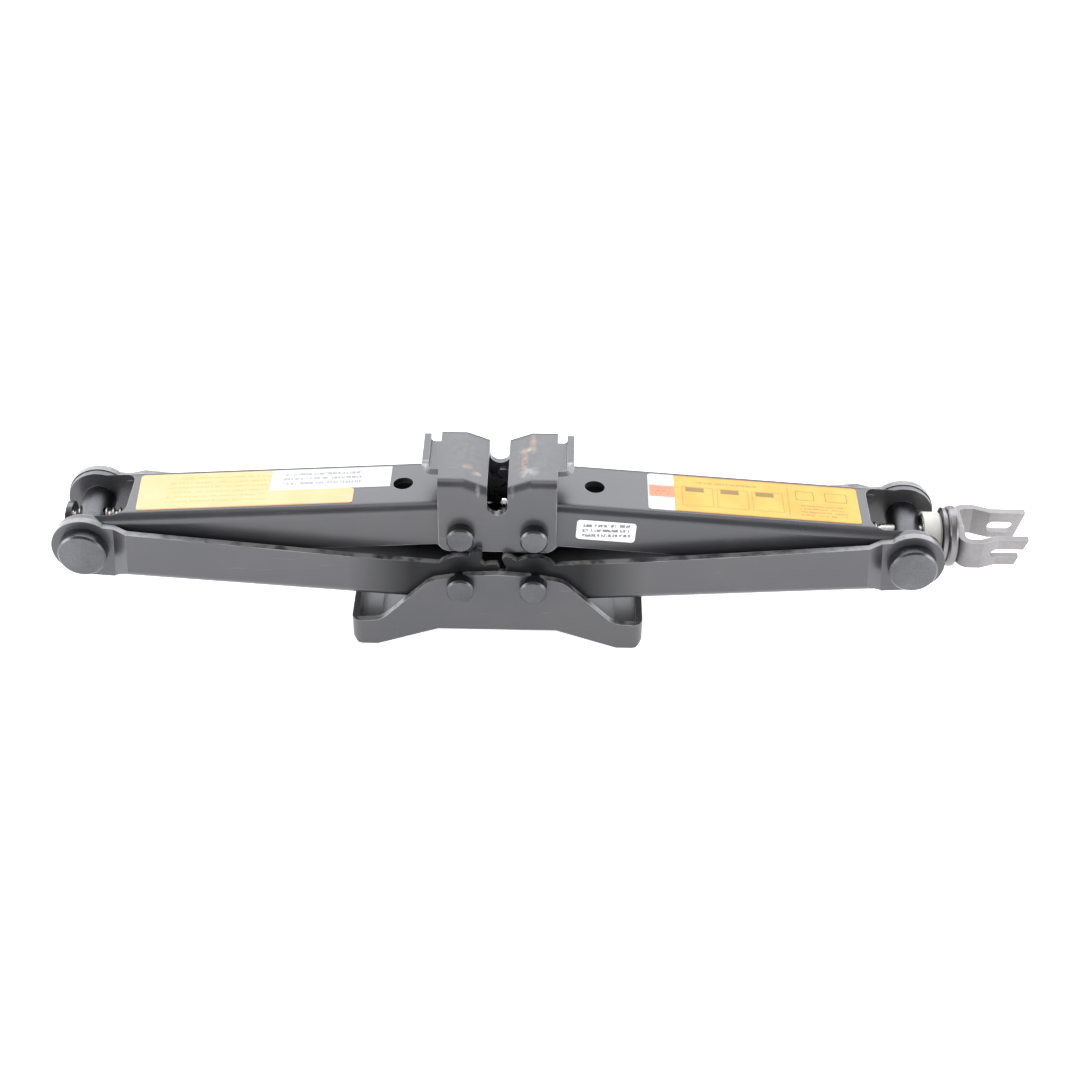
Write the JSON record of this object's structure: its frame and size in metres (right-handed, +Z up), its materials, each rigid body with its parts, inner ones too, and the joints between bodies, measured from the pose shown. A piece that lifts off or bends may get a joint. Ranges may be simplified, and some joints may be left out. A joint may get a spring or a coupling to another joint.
{
  "type": "scissor jack",
  "caption": "Hand-cranked scissor jack of pressed steel channel arms on a foot bracket, with a slotted saddle, geared arm ends, a lifting screw and a forked crank yoke.",
  "frame": {"origin": "middle of the whole lowered jack's box, on the ground under the feet", "axes": "+X along the screw from the stop ring to the crank yoke, +Y across the jack away from the labelled side wall, +Z up"},
  "size_m": [0.4266, 0.0652, 0.0875],
  "materials": {
    "black_steel": "satin black paint on pressed steel",
    "rivet_steel": "satin black paint on forged steel",
    "screw_steel": "oiled rolled thread",
    "bearing_steel": "ground steel",
    "cage_brass": "stamped brass",
    "cover_plastic": "off-white moulded plastic",
    "collar_steel": "dark phosphated steel",
    "plated_steel": "dull zinc plate",
    "yellow_label": "satin printed film",
    "white_label": "satin printed film"
  },
  "bodies": {
    "base": {"base_bracket": "black_steel", "base_pin_left": "rivet_steel", "base_pin_right": "rivet_steel"},
    "lower_left": {"lower_left_arm": "black_steel"},
    "lower_right": {"lower_right_arm": "black_steel"},
    "upper_left": {"upper_left_arm": "black_steel", "label_left_yellow": "yellow_label", "label_left_white": "white_label"},
    "upper_right": {"upper_right_arm": "black_steel", "label_right_yellow": "yellow_label", "label_right_white": "white_label", "label_side": "white_label"},
    "saddle": {"saddle_bracket": "black_steel", "saddle_pin_left": "rivet_steel", "saddle_pin_right": "rivet_steel"},
    "nut": {"trunnion_left": "rivet_steel"},
    "bearing_block": {"trunnion_right": "rivet_steel", "bearing_race_inner": "bearing_steel", "bearing_cover": "cover_plastic"},
    "bearing_cage": {"bearing_balls": "bearing_steel", "ball_cage": "cage_brass"},
    "screw": {"lifting_screw": "screw_steel", "screw_stop_ring": "screw_steel", "bearing_race_outer": "bearing_steel", "collar_washer": "collar_steel", "drive_yoke": "plated_steel"}
  },
  "joints": [
    {"name": "lift", "type": "hinge", "parent": "base", "child": "lower_left", "pos_m": [-0.03535, 0, 0.034], "axis": [0, 1, 0], "range_deg": [0, 55]},
    {"name": "lower_right_hinge", "type": "hinge", "parent": "base", "child": "lower_right", "pos_m": [-0.00375, 0, 0.034], "axis": [0, 1, 0], "range_deg": [-55, 0]},
    {"name": "upper_left_hinge", "type": "hinge", "parent": "lower_left", "child": "upper_left", "pos_m": [-0.19896, 0, 0.04525], "axis": [0, 1, 0], "range_deg": [-110, 0]},
    {"name": "upper_right_hinge", "type": "hinge", "parent": "lower_right", "child": "upper_right", "pos_m": [0.15986, 0, 0.04525], "axis": [0, 1, 0], "range_deg": [0, 110]},
    {"name": "saddle_hinge", "type": "hinge", "parent": "upper_left", "child": "saddle", "pos_m": [-0.03535, 0, 0.0565], "axis": [0, 1, 0], "range_deg": [0, 55]},
    {"name": "nut_hinge", "type": "hinge", "parent": "lower_left", "child": "nut", "pos_m": [-0.19896, 0, 0.04525], "axis": [0, 1, 0], "range_deg": [-55, 0]},
    {"name": "bearing_block_hinge", "type": "hinge", "parent": "lower_right", "child": "bearing_block", "pos_m": [0.15986, 0, 0.04525], "axis": [0, 1, 0], "range_deg": [0, 55]},
    {"name": "screw_turn", "type": "hinge", "parent": "bearing_block", "child": "screw", "pos_m": [0.15986, 0, 0.04525], "axis": [1, 0, 0], "continuous": true},
    {"name": "cage_turn", "type": "hinge", "parent": "bearing_block", "child": "bearing_cage", "pos_m": [0.15986, 0, 0.04525], "axis": [1, 0, 0], "continuous": true}
  ],
  "couplings": [
    {"joint": "lower_right_hinge", "follows": "lift", "ratio": -1},
    {"joint": "upper_left_hinge", "follows": "lift", "ratio": -2},
    {"joint": "upper_right_hinge", "follows": "lift", "ratio": 2},
    {"joint": "saddle_hinge", "follows": "lift", "ratio": 1},
    {"joint": "nut_hinge", "follows": "lift", "ratio": -1},
    {"joint": "bearing_block_hinge", "follows": "lift", "ratio": 1}
  ]
}
